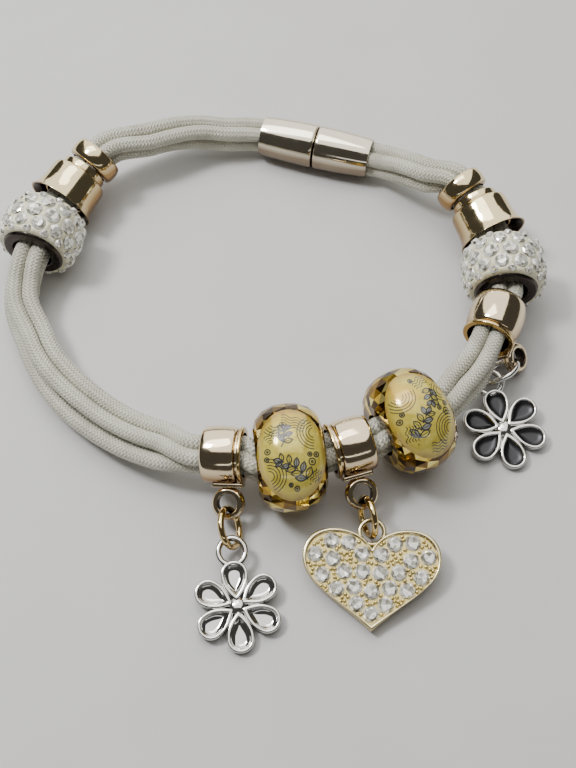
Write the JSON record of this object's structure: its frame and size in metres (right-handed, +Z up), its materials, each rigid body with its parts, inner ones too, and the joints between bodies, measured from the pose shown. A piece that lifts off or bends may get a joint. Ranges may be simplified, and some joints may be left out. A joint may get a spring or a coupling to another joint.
{
  "type": "charm bracelet",
  "caption": "Cord charm bracelet fastened in a loop: braided cords with a barrel clasp, metal and pave ring beads, faceted amber glass beads, and flower and heart charms on rings.",
  "frame": {"origin": "on the surface that the bracelet lies on, under the middle of its bounding box", "axes": "+Z up, +Y from the charms at the front to the clasp at the back, +X to the right as seen from the front"},
  "size_m": [0.0768, 0.082, 0.0139],
  "materials": {
    "waxed_cord": "waxed, finely braided, satin",
    "clasp_silver": "polished",
    "rose_gold": "polished",
    "cream_clay": "glossy clay with clear stones",
    "amber_glass": "faceted, with a printed smooth window",
    "link_gold": "polished",
    "charm_silver": "polished",
    "heart_gold": "polished",
    "clear_stone": "cut and polished",
    "dark_core": "dark plated",
    "dark_petal": "dark, glossy"
  },
  "bodies": {
    "root": {"strand_1": "waxed_cord", "strand_2": "waxed_cord", "strand_3": "waxed_cord", "strand_4": "waxed_cord", "clasp_half_left": "clasp_silver", "stopper_left": "rose_gold", "flared_bead_left": "rose_gold", "pave_bead_left": "cream_clay", "glass_bead_left": "amber_glass", "bail_bead_left": "rose_gold", "flower_charm_left": "charm_silver", "clasp_half_right": "clasp_silver", "stopper_right": "rose_gold", "flared_bead_right": "rose_gold", "pave_bead_right": "cream_clay", "glass_bead_right": "amber_glass", "bail_bead_right": "rose_gold", "flower_charm_right": "charm_silver", "ball_bail_bead": "rose_gold", "jump_ring_left": "link_gold", "jump_ring_middle": "link_gold", "jump_ring_right": "charm_silver", "heart_charm": "heart_gold"}
  },
  "joints": []
}
